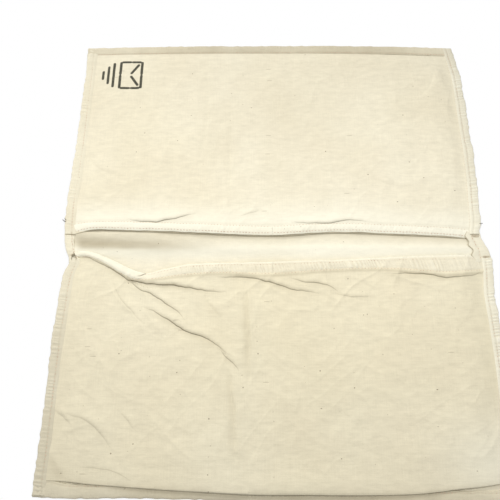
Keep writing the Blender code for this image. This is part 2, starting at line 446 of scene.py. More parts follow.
def cottonMaterial(name, colour, shade, fleckAmount=1.0, bump=0.5):
    # cotton: weave and slubs in the bump and, faintly, in the colour; flecks, mottle and stains; painted
    # light where the pale mark is; painted shade where a crease, a hollow or an edge is, with some
    # dirt on the end bands; a thin painted shadow line where the signed distance from a crease passes zero
    material, tree, shader = newMaterial(name)
    flat = addNode(tree, "ShaderNodeUVMap", {"uv_map": "flat"}).outputs[0]
    weave = addNode(tree, "ShaderNodeGroup", {"node_tree": weaveGroup}, Vector=flat)
    marks = addNode(tree, "ShaderNodeGroup", {"node_tree": marksGroup}, Vector=flat, Flecks=fleckAmount)
    gap = calc(tree, "ABSOLUTE", markOf(tree, "gap"))
    line = times(tree, remap(tree, gap, 0.05, 0.52, 1.0, 0.0), markOf(tree, "line"))
    tint = colourMix(tree, marks.outputs["Warm"], colour, shade)
    stained = remap(tree, marks.outputs["Stain"], 0.0, 1.0, 0.0, 0.17)
    tint = colourMix(tree, stained, tint, cottonLayers["stain"])
    yarn = remap(tree, weave.outputs["Yarn"], 0.3, 0.7, 0.92, 1.04)
    level = times(tree, yarn, remap(tree, marks.outputs["Mottle"], 0.3, 0.7, 0.93, 1.05))
    tone = addNode(tree, "ShaderNodeCombineColor", {}, i0=level, i1=level, i2=level).outputs[0]
    tint = colourMix(tree, 1.0, tint, tone, "MULTIPLY")
    speck = remap(tree, markOf(tree, "speck"), 1.35, 1.6, 0.0, 0.85)
    edge = calc(tree, "ADD", markOf(tree, "ink"), times(tree, weave.outputs["Yarn"], 0.5))
    inked = remap(tree, edge, 1.08, 1.42)
    patchy = remap(tree, noiseValue(tree, flat, 1300.0, 3.0, 0.6), 0.40, 0.64, 1.0, 0.87)
    shares = {
        "pale": markOf(tree, "pale"),
        "wearAndShade": times(tree, markOf(tree, "wearAndShade"), 0.35),
        "crease": markOf(tree, "crease"),
        "line": times(tree, line, 0.92),
        "fleck": calc(tree, "MAXIMUM", marks.outputs["Fleck"], speck),
        "ink": times(tree, inked, patchy),
    }
    for layer, share in shares.items():
        tint = colourMix(tree, share, tint, cottonLayers[layer])
    tree.links.new(tint, shader.inputs["Base Color"])
    rough = remap(tree, weave.outputs["Yarn"], 0.2, 0.8, 0.86, 0.98)
    tree.links.new(rough, shader.inputs["Roughness"])
    height = calc(tree, "ADD", weave.outputs["Height"], times(tree, marks.outputs["Mottle"], 4.0))
    raised = addNode(tree, "ShaderNodeBump", {}, Strength=bump, Distance=0.00013, Height=height)
    tree.links.new(raised.outputs[0], shader.inputs["Normal"])
    for label, value in (("Sheen Weight", 0.12), ("Sheen Roughness", 0.6), ("Specular IOR Level", 0.15)):
        shader.inputs[label].default_value = value
    return material


def threadMaterial(name, colour, shade):
    material, tree, shader = newMaterial(name)
    within = addNode(tree, "ShaderNodeTexCoord").outputs["Object"]
    patch = remap(tree, noiseValue(tree, within, 420.0, 3.0), 0.3, 0.7)
    tree.links.new(colourMix(tree, patch, colour, shade), shader.inputs["Base Color"])
    diagonal = {"bands_direction": "DIAGONAL"}
    twist = addNode(tree, "ShaderNodeTexWave", diagonal, Vector=within, Scale=1600.0, Distortion=1.5)
    raised = addNode(tree, "ShaderNodeBump", {}, Strength=0.4, Distance=0.00008, Height=twist.outputs["Fac"])
    tree.links.new(raised.outputs[0], shader.inputs["Normal"])
    tree.links.new(remap(tree, patch, 0.0, 1.0, 0.75, 0.95), shader.inputs["Roughness"])
    shader.inputs["Sheen Weight"].default_value = 0.2
    return material


cream = cottonMaterial("creamCotton", (0.880, 0.822, 0.655), (0.850, 0.785, 0.600))
# a darker, yellower cream for the lower pocket's front
lowerCream = cottonMaterial("lowerPocketCotton", (0.850, 0.785, 0.600), (0.835, 0.765, 0.565))
turned = cottonMaterial("turnedCotton", (0.865, 0.805, 0.635), (0.835, 0.768, 0.585), 0.5, 0.55)
paleThread = threadMaterial("paleThread", (0.58, 0.39, 0.27), (0.76, 0.60, 0.46))
tackThread = threadMaterial("tackThread", (0.52, 0.43, 0.30), (0.72, 0.63, 0.47))
brownThread = threadMaterial("brownThread", (0.20, 0.165, 0.10), (0.42, 0.36, 0.25))
darkThread = threadMaterial("darkThread", (0.055, 0.045, 0.035), (0.10, 0.085, 0.06))
print("materials made")


# The sack's own lines, in millimetres in the frame's axes

outline = {
    # place along Y, distance of the edge from the middle line
    "left": [(-160, 139.4), (-131, 139.1), (-82, 139.2), (-51, 138.3), (-24, 136.6), (-15, 134.6),
             (-9, 137.2), (6, 139.8), (22, 140.7), (50, 139.7), (100, 139.3), (160, 139.2)],
    "right": [(-160, 142.0), (-110, 142.8), (-68, 143.4), (-37, 143.2), (-18, 144.8), (-10, 144.0),
              (2, 139.6), (12, 141.0), (27, 142.2), (58, 143.7), (95, 143.6), (131, 143.2),
              (148, 141.0), (160, 139.2)],
}
lips = {
    # place along X, place along Y
    "upper": [(-141, 4.4), (-134, 3.2), (-127, 4.8), (-95, 5.2), (-70, 4.4), (-48, 3.4), (-8, 1.9),
              (8, 2.0), (38, 4.0), (85, 2.7), (121, 0.9), (141, -0.8)],
    "lower": [(-137, -9.8), (-127, -9.6), (-121, -11.2), (-113, -14.4), (-100, -20.2), (-90, -24.0),
              (-84, -24.9), (-73, -22.0), (-59, -19.2), (-35, -18.0), (0, -17.1), (37, -16.0),
              (83, -13.6), (110, -12.4), (141, -12.2)],
}
hemLines = {
    "upper": [(-141, 11.2), (-95, 11.6), (-48, 10.0), (0, 8.6), (38, 10.4), (85, 9.3), (141, 6.2)],
    "lower": [(-137, -13.4), (-127, -13.4), (-113, -18.7), (-100, -25.4), (-92, -28.9), (-85, -29.7),
              (-75, -28.9), (-65, -27.4), (-50, -25.9), (-35, -25.1), (-15, -26.1), (0, -26.4),
              (15, -25.3), (25, -24.2), (44, -22.9), (57, -22.4), (70, -22.6), (86, -23.8),
              (109, -25.8), (121, -25.0), (141, -22.4)],
}
ends = {
    # the far edge of the front cloth
    "upper": [(-141, 148.6), (-60, 150.2), (0, 150.4), (60, 150.2), (141, 147.6)],
    "lower": [(-141, -149.0), (-131, -148.8), (-121, -149.3), (-111, -150.4), (-89, -152.0),
              (-71, -153.2), (-41, -154.8), (-16, -156.0), (17, -156.2), (50, -156.4), (80, -155.7),
              (104, -153.2), (116, -152.0), (129, -150.3), (141, -149.4)],
}
closedEdges = {
    "upper": [(-141, 155.6), (-92, 157.0), (-15, 157.8), (62, 157.8), (125, 156.3), (141, 155.4)],
    "lower": [(-141, -156.8), (-124, -157.5), (-72, -157.7), (-20, -159.0), (30, -160.4), (80, -161.2),
              (141, -161.4)],
}
seamWidth = 8.0


def edgeAt(y, side):
    return smoothLine(y, outline[side])


def widen(x, y):
    # moves a place on the plain rectangle out or in, so that its side follows the outline
    left, right = edgeAt(y, "left"), edgeAt(y, "right")
    half = sackWidth / 2
    return np.where(x < 0, x * left / half, x * right / half)


clothThick = 0.45
hemLap = 0.7  # how far a mouth hem's inner edge reaches over its line
roundness = 2.8  # the power that rounds a band's cross-section
undersideRow = 0.16  # height of the stitches that show on the underside
frontSettings = {
    "upper": {"rise": 1.15, "slack": 0.5},
    "lower": {"rise": 1.6, "slack": 0.6},
    "spacing": 0.65,
    "hinge": 147.0,
}

def crease(height, width, path, dark=0.0, soft=0.0, ridge=False):
    # a fold pressed into the cloth: the height and width of the roll on the left of its path, how dark its
    # painted shadow line is, and how dark the painted soft shade beside it is. A ridge is a low crest
    # along the path
    return {"height": height, "width": width, "path": path, "dark": dark, "soft": soft, "ridge": ridge}


creases = {
    "upper": [
        crease(0.3, 6.0, [(-48, 140), (-46, 100), (-49, 66)], soft=0.03),
        crease(0.35, 5.0, [(-133, 66), (-122, 52), (-104, 44)]),
        crease(0.35, 4.0, [(131, 120), (126, 100), (129, 84)], ridge=True),
        crease(0.8, 3.0, [(-95, 13.0), (-83, 11.4), (-70, 12.7), (-55, 16.6)], dark=0.85),
        crease(0.3, 2.5, [(-21, 15.4), (-9, 19.4)], dark=0.22),
        crease(0.7, 2.8, [(15, 10.9), (27, 10.2), (38, 10.6), (50, 12.9), (63, 11.5)], dark=0.75),
        crease(0.35, 5.0, [(-28.5, 92), (-29.5, 60), (-28, 26)], soft=0.05),
        crease(0.22, 4.0, [(64, 48), (78, 40), (92, 37)]),
        crease(0.35, 5.0, [(122, 136), (116, 120), (108, 112)]),
    ],
    "lower": [
        crease(1.3, 3.0, [(-128, -13.6), (-113, -19.6), (-96, -28.6), (-86, -31.0), (-78, -32.0),
               (-63, -33.0), (-50, -35.6), (-34, -37.2)], dark=1.0),
        crease(0.7, 3.2, [(-95, -29.6), (-88, -34.9), (-79, -38.8), (-70, -44.7), (-62, -49.9),
               (-58.6, -53.6)], dark=0.75),
        crease(1.0, 4.0, [(-80, -48.6), (-75, -50.6), (-63.5, -57.8), (-53.5, -63.2),
               (-43.8, -66.6), (-34.2, -72.6), (-30.4, -75.4)], dark=0.95),
        crease(0.5, 3.0, [(-33.6, -74.6), (-26, -82.3), (-22.4, -86.4)], dark=0.5),
        crease(0.9, 3.4, [(-34, -27.4), (-16, -27.4), (-3, -30.2), (9, -34.6), (26, -38.0)],
               dark=0.85),
        crease(0.6, 2.6, [(13, -28.6), (20, -30.6), (27, -31.2), (34, -33.2), (40, -36.4)],
               dark=0.65),
        crease(0.4, 3.0, [(39, -38.4), (50, -41.0), (61, -40.4)], dark=0.25),
        crease(0.9, 3.0, [(74, -24.8), (86, -29.6), (101, -34.6)], ridge=True),
        crease(0.8, 3.0, [(74, -25.2), (85, -24.9), (96, -25.2), (109, -27.6), (121, -27.0),
               (131, -24.6)], dark=0.8),
        crease(0.35, 3.0, [(-132, -110), (-122, -117.6)], dark=0.14),
        crease(0.45, 3.5, [(-125, -112), (-115, -114.5), (-107, -119.6), (-98, -129.5)], dark=0.2),
        crease(0.3, 2.6, [(-93, -111), (-84, -120)], dark=0.12),
        crease(0.5, 1.6, [(-89.8, -27.3), (-86.6, -26.4), (-83.4, -24.0)], dark=0.8),
        crease(0.9, 4.0, [(-17.5, -38), (-16.4, -60), (-15.6, -90)], soft=0.19),
        crease(0.8, 4.0, [(-27, -88), (-25, -112), (-24, -137)], soft=0.15),
        crease(0.5, 4.0, [(-46, -38), (-40, -48), (-34, -54)], soft=0.08),
        crease(0.45, 3.0, [(-110, -30), (-101, -42), (-88, -54), (-82, -64)], ridge=True),
        crease(0.4, 2.4, [(-104, -33), (-97, -44), (-84, -57)], dark=0.14),
        crease(0.35, 4.0, [(-118, -62), (-108, -80), (-100, -98)], ridge=True),
        crease(0.45, 3.0, [(-36, -76), (-24, -92), (-14, -112), (-8, -124)], ridge=True),
        crease(0.35, 3.0, [(-78, -110), (-64, -124), (-46, -140)], ridge=True),
        crease(0.5, 3.0, [(44, -25), (56, -30), (70, -37)], ridge=True),
        crease(0.45, 2.6, [(26, -33), (36, -41), (45, -46)], ridge=True),
        crease(0.4, 3.0, [(-8, -32), (4, -38), (18, -46)], ridge=True),
        crease(0.5, 3.0, [(-133, -135), (-127, -142), (-121, -147)], soft=0.15),
        crease(0.3, 2.0, [(125, -149.8), (131, -148.0), (136, -148.6)], soft=0.3),
        crease(0.4, 4.0, [(118, -136), (126, -128), (131, -118)], ridge=True),
        crease(0.4, 3.0, [(-112, -141), (-96, -143), (-84, -148)], dark=0.26),
        crease(0.5, 4.0, [(-86, -34), (-78, -50), (-66, -72)], ridge=True),
        crease(0.3, 4.0, [(-72, -128), (-56, -138), (-40, -147)], ridge=True),
    ],
}


def crumple(x, y, size, seed):
    # sharp low ridges where a soft noise passes through zero, along two slanting directions that wander
    x, y = x + 9 * softNoise(x, y, 23, seed + 2), y + 9 * softNoise(x, y, 19, seed + 3)
    first = 1 - np.abs(softNoise(0.8 * x + 0.6 * y, 0.45 * (0.6 * x - 0.8 * y), size, seed))
    second = 1 - np.abs(softNoise(0.8 * x - 0.6 * y, 0.45 * (0.6 * x + 0.8 * y), size, seed + 1))
    return first**6 + second**6


def frontSurface(half, x, y):
    # height of the front cloth's outer face above the table, at places on the plain rectangle: low beside
    # the seams, slack in the middle, and beside each crease a roll that climbs steeply from the crease's
    # line. Also the marks for the material, which hold painted shade beside each crease and a painted
    # shadow line in its fold, and how far the roll leans over its line
    settings = frontSettings[half]
    lip = smoothLine(x, lips[half])
    fromSeam = np.clip(sackWidth / 2 - seamWidth - np.abs(x), 0, None)
    fromLip = np.abs(y - lip)
    inside = ease(fromSeam, 0, 8)
    z = 1.2 + settings["rise"] * ease(fromSeam, -3, 16)
    z += inside * (settings["slack"] * softNoise(x, y, 47, 3) + 0.26 * softNoise(x, 0.7 * y, 21, 4))
    z += inside * (0.20 * softNoise(x + 0.5 * y, y - 0.3 * x, 9, 5) + 0.07 * softNoise(x, y, 3.9, 6))
    near = bell(fromLip - 14, 22)
    z += inside * (0.14 + 0.30 * near * (half == "lower")) * crumple(x, y, 17, 8)
    z += inside * 0.12 * crumple(y + 31, x, 9.5, 14)
    z += 0.3 * bell(fromLip - 4, 6) * ease(fromSeam, 0, 12) * (1 + 0.5 * lineNoise(x, 26, 7))
    marks = {"crease": np.zeros_like(z), "line": np.zeros_like(z), "gap": np.full_like(z, 9.0)}
    shift = np.zeros((*z.shape, 2))
    for fold in creases[half]:
        path = roundedPath(fold["path"])
        low, high = path.min(axis=0) - 16, path.max(axis=0) + 16
        near = (x > low[0]) & (x < high[0]) & (y > low[1]) & (y < high[1])
        if not near.any():
            continue
        signed, share, nx, ny = nearestOnPath(path, x[near], y[near])
        signed = signed + 0.5 * softNoise(x[near], y[near], 6.0, 61)
        signed = signed + 0.22 * softNoise(x[near], y[near], 2.6, 62)
        taper = np.sin(np.pi * np.clip(share * 0.94 + 0.03, 0, 1)) ** 0.6
        height, width = fold["height"] * taper, fold["width"]
        if fold["ridge"]:
            z[near] += height * np.exp(-np.abs(signed) / (0.7 * width)) * bell(signed, 2.2 * width)
            continue
        climb = np.clip(signed, 0, None) / (0.55 * width)
        roll = climb * np.exp(1 - climb)
        z[near] += height * np.where(signed > 0, roll, -0.22 * np.exp(signed / (0.5 * width)))
        z[near] += 0.22 * height * np.where(signed > 0, -np.exp(-signed / 0.8), 0)
        # painted shade: a soft shade beside the crease; with dark, a painted shadow line in its fold and
        # painted shade beside it
        if fold["soft"]:
            darken(marks, fold["soft"] * taper * bell(signed + 1.0, 2.6), near)
        if fold["dark"]:
            lean = 0.45 * height * bell(signed - 0.7, 0.8)
            shift[near] -= lean[:, None] * np.stack([nx, ny], -1)
            closer = np.abs(signed) < np.abs(marks["gap"][near])
            gap, line = marks["gap"][near], marks["line"][near]
            marks["gap"][near] = np.where(closer, signed, gap)
            marks["line"][near] = np.where(closer, fold["dark"] * taper * (np.abs(signed) < 3), line)
            darken(marks, 0.17 * fold["dark"] * taper * bell(signed + 0.9, 1.8), near)
    return z, marks, shift


# The mark stencilled near the corner, and the flecks

stampSettings = {
    # an envelope seen from its back, with three bars, turned a quarter turn: half the width of its
    # strokes, and the strokes' ends
    "half": 1.0,
    "strokes": [
        ((-97, 119), (-97, 129)), ((-97, 131), (-97, 141)),
        ((-113, 119), (-113, 129)), ((-113, 131), (-113, 141)),
        ((-98.6, 118.4), (-104, 118.4)), ((-106, 118.4), (-111.6, 118.4)),
        ((-98.6, 141.6), (-104, 141.6)), ((-106, 141.6), (-111.6, 141.6)),
        ((-99.6, 121.2), (-104.6, 128.4)), ((-99.6, 138.8), (-104.6, 131.6)),
        ((-118, 120), (-118, 140)), ((-122, 123), (-122, 137)), ((-126, 127), (-126, 133)),
    ],
}
speckPlaces = [
    (124, 34.6), (-84, -128.6), (58, -52), (27, -109), (-91, 80), (-60, -88), (96, -98), (-14, 101),
]


def stampInk(x, y):
    # 1 at a stroke's edge, more inside it and less outside, by the distance in millimetres
    nearest = np.full(x.shape, 9.0)
    for start, finish in stampSettings["strokes"]:
        signed, _, _, _ = nearestOnPath(np.array([start, finish], float), x, y)
        nearest = np.minimum(nearest, np.abs(signed))
    return np.clip(1 + stampSettings["half"] - nearest, 0, 4)


def specks(x, y):
    # 2 at the middle of each fleck, falling by 1 for each millimetre from it
    nearest = np.full(x.shape, 9.0)
    for px, py in speckPlaces:
        nearest = np.minimum(nearest, np.hypot(x - px, (y - py) * 1.3))
    return np.clip(2 - nearest, 0, 2)


def frontDarkening(half, x, y):
    # darker in the middle of each pocket, as painted shade; and darker towards the closed end of the lower
    # one and beside its left seam
    if half == "upper":
        return 0.10 * ease(y, 110, 150) + 0.42 * bell(np.hypot(0.8 * x, y - 96), 48)
    grubby = (0.15 - 0.15 * x / 140) * ease(-y, 118, 156) + 0.22 * bell(x + 134, 26)
    return grubby + 0.32 * bell(y + 86, 34)


# Cloths: the flat place of each point is kept in its uv map


def frontCloth(half, material):
    # the pocket's front from under its hem to the closed end. One grid gives the shape and the normals,
    # and three pieces are cut from it: left and right of the middle, and what lies beyond the hinge line
    away = halves[half]
    spacing, hinge = frontSettings["spacing"], away * frontSettings["hinge"]
    sideX = sackWidth / 2 - 5.2
    across = np.linspace(-sideX, sideX, int(2 * sideX / spacing) // 2 * 2 + 1)
    start = smoothLine(across, hemLines[half]) - away * 2.0
    finish = smoothLine(across, ends[half])
    rows, tailRows = int(abs(hinge - start.mean()) / spacing), 16
    share, tail = np.linspace(0, 1, rows)[:-1], np.linspace(0, 1, tailRows)
    y = np.hstack([start[:, None] + np.outer(hinge - start, share), hinge + np.outer(finish - hinge, tail)])
    x = np.repeat(across[:, None], y.shape[1], axis=1)
    flat = np.stack([x, y], -1)
    z, marks, shift = frontSurface(half, x, y)
    fromEnd = np.abs(finish[:, None] - y)
    if half == "upper":
        z = z + (1.3 - z) * (1 - ease(fromEnd, 0, 9)) * 0.9
    else:
        # the slack front sags over the end seam and rolls under along its last stretch
        cover = bell(x, 116) * ease(x, -134, -114) * ease(-x, -138, -120)
        z = z + (1.45 + 1.9 * cover + 0.4 * bell(fromEnd - 6, 5) * cover - z) * (1 - ease(fromEnd, 3, 24))
        radius = 0.6 + 0.5 * cover
        turn = np.clip(1 - fromEnd / (2.2 * radius), 0, 1) * math.pi * 0.75
        z = z - radius * (1 - np.cos(turn))
        y = np.where(turn > 0, finish[:, None] + radius * (1.3 - np.sin(turn)), y)
        # painted shade where the cloth rolls under at its end, and along the fold
        soften = ease(cover, 0.02, 0.4)
        haze = 0.5 * ease(turn, 0.9, 2.0) + 0.17 * bell(fromEnd - 1.0, 1.3)
        darken(marks, haze * soften)
    points = np.stack([widen(x, y) + shift[..., 0], y + shift[..., 1], z], -1)
    fromHem = np.abs(y - start[:, None]) - 2.0
    # painted shade along the hem's inner edge
    darken(marks, pick(half, 0.10, 0.26) * bell(fromHem - 0.5, 0.9))
    marks["wearAndShade"] = 0.2 * ease(np.abs(softNoise(x, y, 33, 11)), 0.3, 1.0) + frontDarkening(half, x, y)
    if half == "upper":
        # painted light, brighter towards the hem
        marks["pale"] = 0.48 * bell(fromHem, 13)
        marks["ink"] = stampInk(x, y)
    else:
        # painted light near the lower right corner
        marks["pale"] = 0.4 * bell(np.hypot(x - 126, y + 140), 26)
        marks["crease"] = marks["crease"] + 0.07 * bell(np.hypot(x + 131, y + 146), 10)
    marks["speck"] = specks(x, y)
    cut, middle = rows - 1, len(across) // 2
    parts = {
        "left": (slice(0, middle + 1), slice(0, cut + 1)),
        "right": (slice(middle, None), slice(0, cut + 1)),
        "end": (slice(None), slice(cut, None)),
    }
    if half == "lower":
        # the other way round, so that the normals point up
        points, flat = points[:, ::-1], flat[:, ::-1]
        marks = {mark: values[:, ::-1] for mark, values in marks.items()}
    made = {}
    for name, (columns, lengths) in parts.items():
        if half == "lower":
            total = y.shape[1]
            lengths = slice(total - (lengths.stop or total), total - (lengths.start or 0))
        part = (columns, lengths)
        piece = putSheet(f"{half}_front_cloth_{name}", points, flat, clothThick, material, marks, part)
        made[name] = piece
    return made


def backSurface(x, y):
    # the back cloth's inner face: flat under the pockets, with a soft swell across the saddle that dips
    # under the upper lip on the left
    bare = bell(y - saddleMiddle, 12)
    leftward = ease(-x, 40, 118)
    z = 0.62 + 0.08 * softNoise(x, y, 17, 21) * ease(sackWidth / 2 - np.abs(x), 5, 12)
    z += bare * (0.2 + 0.45 * bell(y + 8.5, 3.0) + 0.3 * bell(y + 6.4, 1.6) * ease(x, -70, 40))
    z += leftward * (0.8 * bell(y - 3, 2.4) + 0.6 * bell(y + 11, 3.2) - 0.4 * bell(y + 3.2, 2.0))
    z += bare * (0.20 * softNoise(x, 3 * y, 24, 22) + 0.12 * softNoise(x, 2 * y, 8, 24))
    # painted shade under the upper lip, strongest on the left
    shade = ease(-x, 5, 114) * 0.62 * bell(y + 0.03 * (x + 134) + 3.6, 4.7) * ease(x, -137, -128)
    shade = shade * (1 + 0.16 * softNoise(x, 4 * y, 9, 25))
    under = y - smoothLine(x, lips["upper"]) + 0.55
    # painted shade and a painted shadow line under the upper lip; painted light across the saddle's swell
    marks = {
        "crease": shade + 0.20 * bell(under - 0.5, 3.2),
        "line": 0.8 * ease(134.5 - np.abs(x), 0, 4) * (np.abs(under) < 3),
        "gap": np.clip(under, -9, 9),
        "pale": 0.6 * bell(y + 9, 6) * (1 - 0.7 * leftward * bell(y + 3, 3)),
    }
    return z, marks


def backCloth(material, spacing=1.0):
    # one grid over the whole back, cut across at the middle of the saddle
    sideX, reach, lowerReach = sackWidth / 2 - 1.6, 154.6, 156.4
    across = np.linspace(-sideX, sideX, int(2 * sideX / spacing))
    below = np.linspace(-lowerReach, saddleMiddle, int((lowerReach + saddleMiddle) / spacing))
    above = np.linspace(saddleMiddle, reach, int((reach - saddleMiddle) / spacing))
    lengthways = np.concatenate([below, above[1:]])
    x, y = np.meshgrid(across, lengthways, indexing="ij")
    z, marks = backSurface(x, y)
    points = np.stack([widen(x, y), y, z], -1)
    flat = np.stack([x, y], -1)
    marks["wearAndShade"] = 0.25 * ease(np.abs(softNoise(x, y, 40, 23)), 0.3, 1.0)
    cut = len(below) - 1
    made = {}
    for half, part in (("lower", slice(0, cut + 1)), ("upper", slice(cut, None))):
        piece = putSheet(f"{half}_back_sheet", points, flat, clothThick, material, marks, (slice(None), part))
        made[half] = piece
    return made


# Bands: seams and hems

bandColumns = ("thick", "strength", "rows", "grime", "pale", "groove")
bandSettings = {
    # thickness, strength of the puckers, places of the rows of stitches, from -1 at the outer edge to 1 at
    # the inner edge, dirt with painted shade, painted light, and the painted shade in the rows' grooves
    "leftSeam": (1.45, 0.5, (0.25,), 0.02, 0.25, 0.15),
    "rightSeam": (1.6, 0.6, (0.22, 0.86), 0.0, 0.75, 0.22),
    "end": (1.5, 0.3, (0.70,), 0.21, 0.0, 0.14),
    "leftSaddle": (1.2, 0.4, (0.55,), 0.02, 0.3, 0.14),
    "rightSaddle": (1.2, 0.4, (0.15,), 0.0, 0.5, 0.14),
}
bandSettings = {kind: dict(zip(bandColumns, values)) for kind, values in bandSettings.items()}


def puckers(along, seed, spacing, least):
    # short ridges across a band, unevenly spaced and of uneven strength, from none to full
    phase = along / spacing + 0.8 * lineNoise(along, 6.0, seed) + 0.5 * lineNoise(along, 2.9, seed + 1)
    strength = least + (1 - least) * ease(lineNoise(along, 8.0, seed + 2), -0.5, 0.8)
    return np.cos(2 * np.pi * phase) * strength


def acrossBand(count=17):
    # places across a band, from its outer edge at -1 to its inner edge at 1, close together at the edges
    return np.sin(np.linspace(-math.pi / 2, math.pi / 2, count))


def bandMesh(name, x, y, z, kind, material, seed, along, q, endShade=0.0):
    # a flattened tube with a groove along each row of stitches, puckers from the row to the outer edge,
    # and painted shade in the grooves, pucker hollows and along the edges, with painted light on the crests
    settings = bandSettings[kind]
    body = np.sqrt(np.clip(1 - np.abs(q) ** roundness, 0, 1))
    crest = settings["strength"] * puckers(along + 0.5 * q, seed, 2.2, 0.3) * bell(q + 0.35, 0.7)
    groove = sum(bell(q - row, 0.10) for row in settings["rows"])
    lumps = 0.10 * softNoise(along, q * 4, 5.0, seed + 9)
    swell = 0.5 * settings["thick"] * body * (1 + 0.32 * crest + lumps) - 0.12 * groove * body
    lift = z + 0.14 * crest - 0.12 * groove
    middle = np.stack([x, y, lift], -1)
    grime = settings["grime"] * (1 + 0.25 * softNoise(along, q, 11, seed + 12)) + endShade
    # painted shade in the pucker hollows and along both edges
    darker = 0.06 * ease(-crest, 0.1, 0.5) * body + 0.18 * ease(np.abs(q), 0.88, 1.0)
    marks = {
        "crease": grime + settings["groove"] * groove + darker,
        # painted light, brighter on the pucker crests
        "pale": settings["pale"] * (0.8 + 0.4 * crest) + 0.15 * ease(crest, 0.1, 0.5) * body,
        "wearAndShade": 0.42 + 0.3 * softNoise(along, q, 14, seed + 11),
    }
    return putBand(name, middle, np.clip(swell, 0, None), np.stack([x, y], -1), material, marks)


def sideSeam(half, side, material):
    sign = sides[side]
    low, high = pick(half, (2.2, 155.2), (-156.4 if side == "left" else -160.6, -14.2))
    along = np.linspace(low, high, int((high - low) / 0.5))
    y, q = np.meshgrid(along, acrossBand(), indexing="ij")
    seed = pick(half, 31, 41) + sign
    ragged = 0.36 * lineNoise(y, 2.2, seed + 50) + 0.45 * lineNoise(y, 13, seed + 51)
    x = sign * (edgeAt(y, side) + ragged * (1 - q) / 2 - (q + 1) / 2 * seamWidth)
    z = 0.86 + 0.10 * softNoise(y, q * 3, 9, seed + 52)
    # painted shade: darker along the lower half, most on the left, and near the top end; darker on the upper
    # right and lighter on the upper left
    shade = (0.21 if side == "left" else 0.04) * ease(-y, 8, 90) + 0.10 * ease(y, 138, 152)
    shade = shade + (0.06 * ease(y, 20, 60) if side == "right" else -0.09 * ease(y, 2, 34))
    if half == "upper":
        # its end lies over the saddle's hem
        z = z + 0.3 * bell(y - low, 5)
        # a painted shadow line across the band's end
        shade = shade + 0.75 * ease(low + 0.9 - y, 0, 0.8)
    return bandMesh(f"{half}_{side}_seam_band", x, y, z, f"{side}Seam", material, seed, y, q, shade)


def endSeam(half, material):
    away = halves[half]
    along = np.linspace(-139.0, pick(half, 139.7, 141.6), 520)
    x, q = np.meshgrid(along, acrossBand(), indexing="ij")
    seed = pick(half, 61, 71)
    outer = smoothLine(x, closedEdges[half]) + away * 0.3 * lineNoise(x, 3.1, seed + 5)
    # at the lower corners the front cloth runs in under the band
    corner = (half == "lower") * (1 - ease(x, -131, -119) * ease(-x, -135, -126))
    inner = outer - away * 7.6
    inner = inner + corner * (smoothLine(x, ends[half]) + 1.1 - inner)
    y = outer + (q + 1) / 2 * (inner - outer)
    z = 0.85 + 0.12 * softNoise(x, q * 3, 12, seed + 6)
    # painted shade across the middle of each end band; on the lower one, a painted shadow line under the
    # front's fold
    if half == "upper":
        shade = 0.13 * ease(x, -112, -40) * ease(-x, -130, -84) - 0.05
    else:
        shade = 0.14 * ease(x, -132, -60) * ease(-x, -150, -60) - 0.10
        shade = shade + 0.16 * bell(x, 125) * bell(y - smoothLine(x, ends[half]) + 0.9, 1.1)
    return bandMesh(f"{half}_end_seam_band", x, y, z, "end", material, seed, x, q, shade)


hemSettings = {
    "thick": 1.25,
    "pitch": 2.3,  # between puckers
    "strength": {"upper": 0.35, "lower": 0.85},
    # how much painted light lies on each hem
    "pale": {"upper": 0.72, "lower": 0.14},
}


